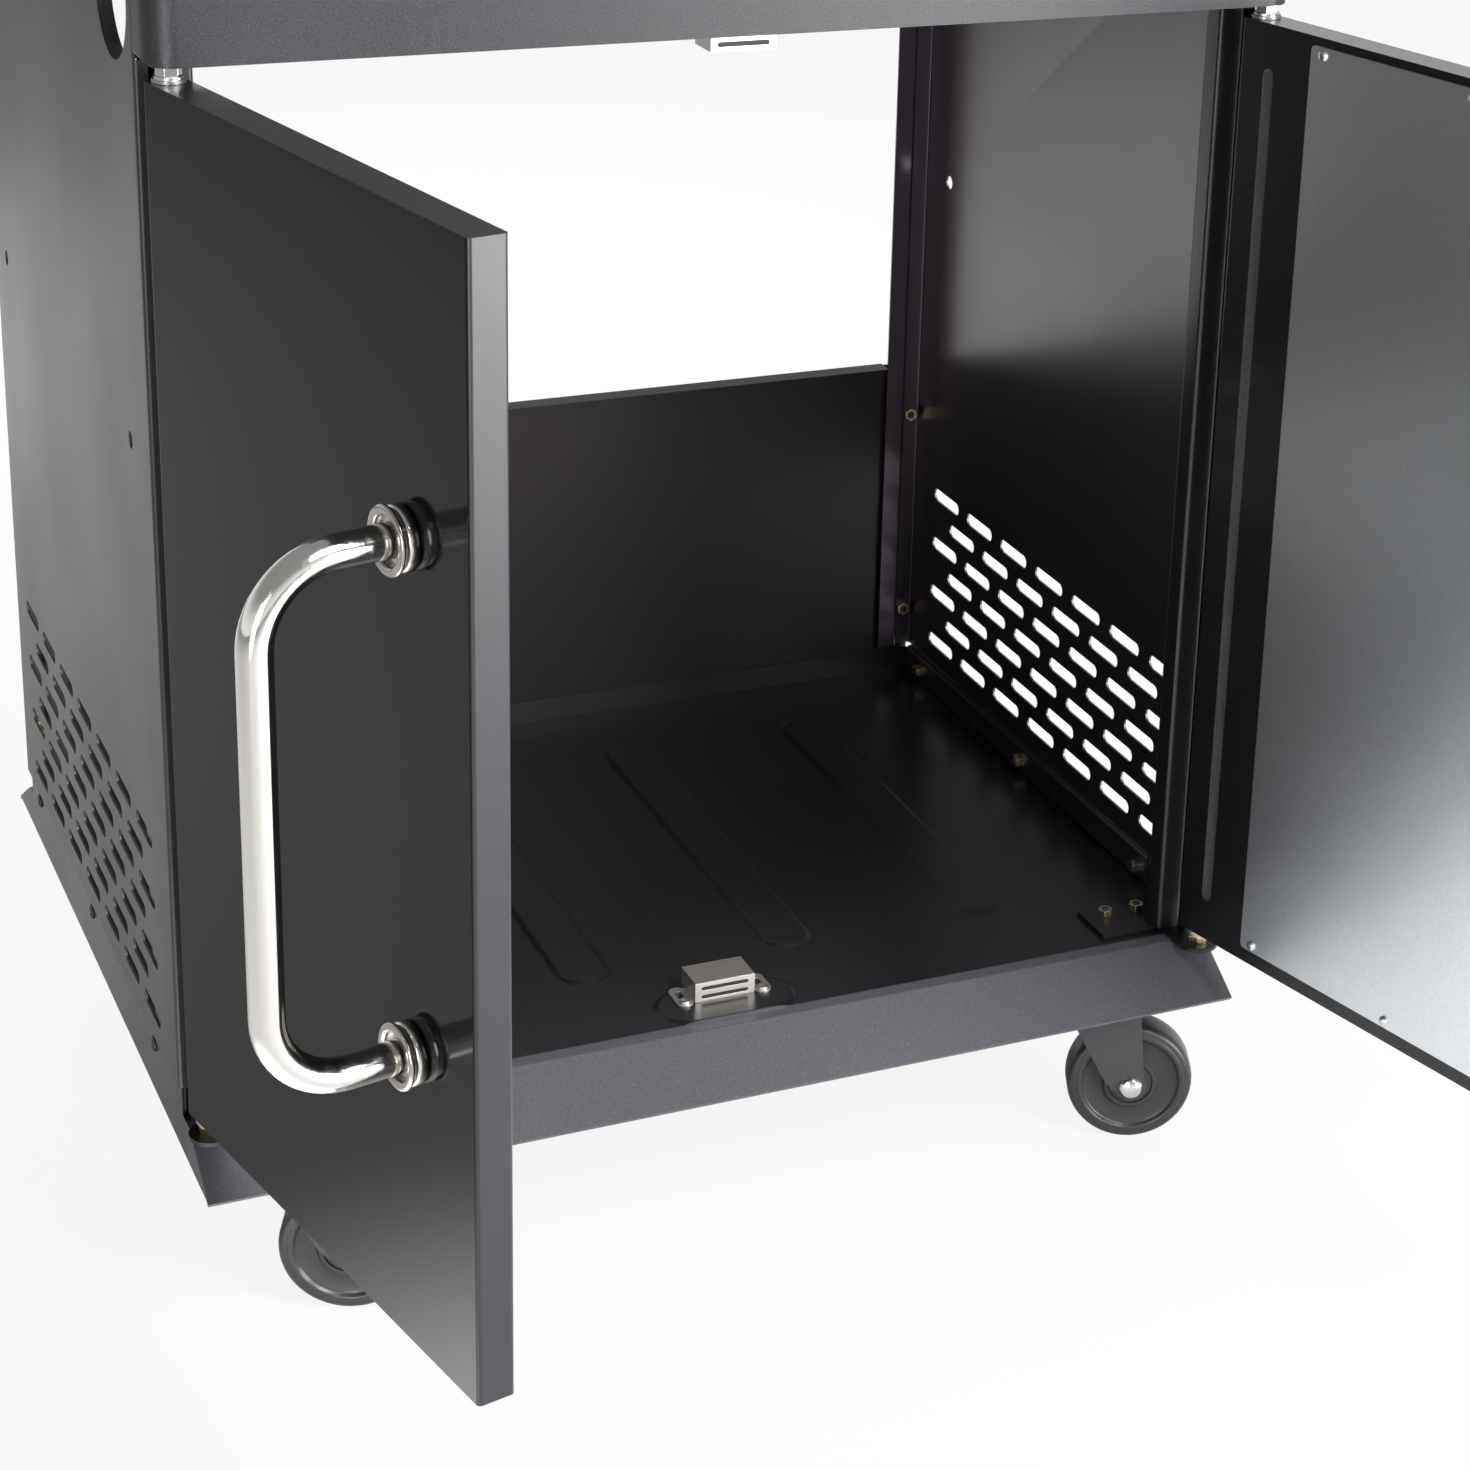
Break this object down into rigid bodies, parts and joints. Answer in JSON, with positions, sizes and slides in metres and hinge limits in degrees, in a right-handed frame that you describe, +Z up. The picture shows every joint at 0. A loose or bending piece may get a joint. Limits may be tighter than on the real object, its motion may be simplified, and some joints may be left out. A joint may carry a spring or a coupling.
{
  "type": "outdoor sink cabinet",
  "caption": "Folded sheet-steel sink cabinet on swivel casters with two hinged doors, bow handles, slotted vents, a drawn bowl in the worktop and a gooseneck tap.",
  "frame": {"origin": "on the ground under the middle of the cabinet body, midway between the four caster swivel axes", "axes": "+Z up, -Y towards the front with the doors, +X to the right as seen from the front"},
  "size_m": [0.7613, 0.7807, 1.112],
  "materials": {
    "panel_left_paint": "satin",
    "panel_right_paint": "satin",
    "rear_paint": "satin",
    "post_paint": "satin",
    "fascia_paint": "fine texture",
    "tray_paint": "satin",
    "frame_paint": "satin",
    "door_left_paint": "satin gloss",
    "door_right_paint": "satin gloss",
    "liner_zinc": "galvanised",
    "bush_steel": "satin",
    "small_screw_steel": "zinc plated",
    "handle_stainless": "polished",
    "handle_base_stainless": "satin",
    "handle_ring_stainless": "polished",
    "pin_steel": "bright zinc",
    "washer_brass": "satin",
    "nut_zinc": "yellow zinc",
    "screw_black": "satin",
    "catch_stainless": "satin",
    "magnet_dark": "matte",
    "worktop_stainless": "brushed",
    "bowl_stainless": "satin",
    "strainer_stainless": "polished",
    "drain_plastic": "matte",
    "tap_chrome": "polished",
    "shank_brass": "satin",
    "caster_steel": "satin",
    "kingpin_steel": "satin",
    "fork_paint": "satin",
    "axle_zinc": "bright zinc",
    "wheel_plastic": "matte"
  },
  "bodies": {
    "cabinet": {"base_tray": "tray_paint", "caster_channels": "frame_paint", "side_panel_left": "panel_left_paint", "side_panel_right": "panel_right_paint", "rear_panel": "rear_paint", "rear_top_rail": "rear_paint", "front_post_left": "post_paint", "front_post_right": "post_paint", "fascia": "fascia_paint", "hinge_brackets_lower": "frame_paint", "hinge_brackets_upper": "frame_paint", "hinge_pins": "pin_steel", "hinge_washers": "washer_brass", "frame_nuts": "nut_zinc", "frame_screws": "screw_black", "catch_bracket": "frame_paint", "magnetic_catches": "catch_stainless", "catch_magnets": "magnet_dark", "worktop": "worktop_stainless", "sink_bowl": "bowl_stainless", "strainer_body": "strainer_stainless", "strainer_grid": "strainer_stainless", "strainer_nut": "drain_plastic", "tailpiece": "drain_plastic", "tap_body": "tap_chrome", "tap_shank_nut": "shank_brass", "caster_plates": "caster_steel", "caster_kingpins": "kingpin_steel"},
    "door_left": {"door_left_skin": "door_left_paint", "door_left_liner": "liner_zinc", "door_left_bushes": "bush_steel", "door_left_screws": "small_screw_steel", "handle_left": "handle_stainless", "handle_left_bases": "handle_base_stainless", "handle_left_rings": "handle_ring_stainless"},
    "door_right": {"door_right_skin": "door_right_paint", "door_right_liner": "liner_zinc", "door_right_bushes": "bush_steel", "door_right_screws": "small_screw_steel", "handle_right": "handle_stainless", "handle_right_bases": "handle_base_stainless", "handle_right_rings": "handle_ring_stainless"},
    "caster_fl": {"fork_fl": "fork_paint", "axle_fl": "axle_zinc"},
    "wheel_fl": {"wheel_fl": "wheel_plastic"},
    "caster_fr": {"fork_fr": "fork_paint", "axle_fr": "axle_zinc"},
    "wheel_fr": {"wheel_fr": "wheel_plastic"},
    "caster_rl": {"fork_rl": "fork_paint", "axle_rl": "axle_zinc"},
    "wheel_rl": {"wheel_rl": "wheel_plastic"},
    "caster_rr": {"fork_rr": "fork_paint", "axle_rr": "axle_zinc"},
    "wheel_rr": {"wheel_rr": "wheel_plastic"},
    "spout": {"tap_spout": "tap_chrome"},
    "lever": {"tap_lever": "tap_chrome"}
  },
  "joints": [
    {"name": "left_door_hinge", "type": "hinge", "parent": "cabinet", "child": "door_left", "pos_m": [-0.293, -0.2305, 0.408], "axis": [0, 0, 1], "range_deg": [-91.9, 78.1]},
    {"name": "right_door_hinge", "type": "hinge", "parent": "cabinet", "child": "door_right", "pos_m": [0.293, -0.2305, 0.408], "axis": [0, 0, 1], "range_deg": [-103.5, 66.5]},
    {"name": "swivel_fl", "type": "hinge", "parent": "cabinet", "child": "caster_fl", "pos_m": [-0.238, -0.215, 0.09], "axis": [0, 0, 1], "continuous": true},
    {"name": "roll_fl", "type": "hinge", "parent": "caster_fl", "child": "wheel_fl", "pos_m": [-0.21952, -0.22265, 0.0375], "axis": [0.3827, 0.9239, 0], "continuous": true},
    {"name": "swivel_fr", "type": "hinge", "parent": "cabinet", "child": "caster_fr", "pos_m": [0.238, -0.215, 0.09], "axis": [0, 0, 1], "continuous": true},
    {"name": "roll_fr", "type": "hinge", "parent": "caster_fr", "child": "wheel_fr", "pos_m": [0.25648, -0.22265, 0.0375], "axis": [0.3827, 0.9239, 0], "continuous": true},
    {"name": "swivel_rl", "type": "hinge", "parent": "cabinet", "child": "caster_rl", "pos_m": [-0.238, 0.215, 0.09], "axis": [0, 0, 1], "continuous": true},
    {"name": "roll_rl", "type": "hinge", "parent": "caster_rl", "child": "wheel_rl", "pos_m": [-0.21952, 0.20735, 0.0375], "axis": [0.3827, 0.9239, 0], "continuous": true},
    {"name": "swivel_rr", "type": "hinge", "parent": "cabinet", "child": "caster_rr", "pos_m": [0.238, 0.215, 0.09], "axis": [0, 0, 1], "continuous": true},
    {"name": "roll_rr", "type": "hinge", "parent": "caster_rr", "child": "wheel_rr", "pos_m": [0.25648, 0.20735, 0.0375], "axis": [0.3827, 0.9239, 0], "continuous": true},
    {"name": "spout_swivel", "type": "hinge", "parent": "cabinet", "child": "spout", "pos_m": [0, 0.175, 0.977], "axis": [0, 0, 1], "range_deg": [-110, 110]},
    {"name": "lever_turn", "type": "hinge", "parent": "cabinet", "child": "lever", "pos_m": [0.028, 0.175, 0.949], "axis": [1, 0, 0], "range_deg": [-90, 0]}
  ]
}
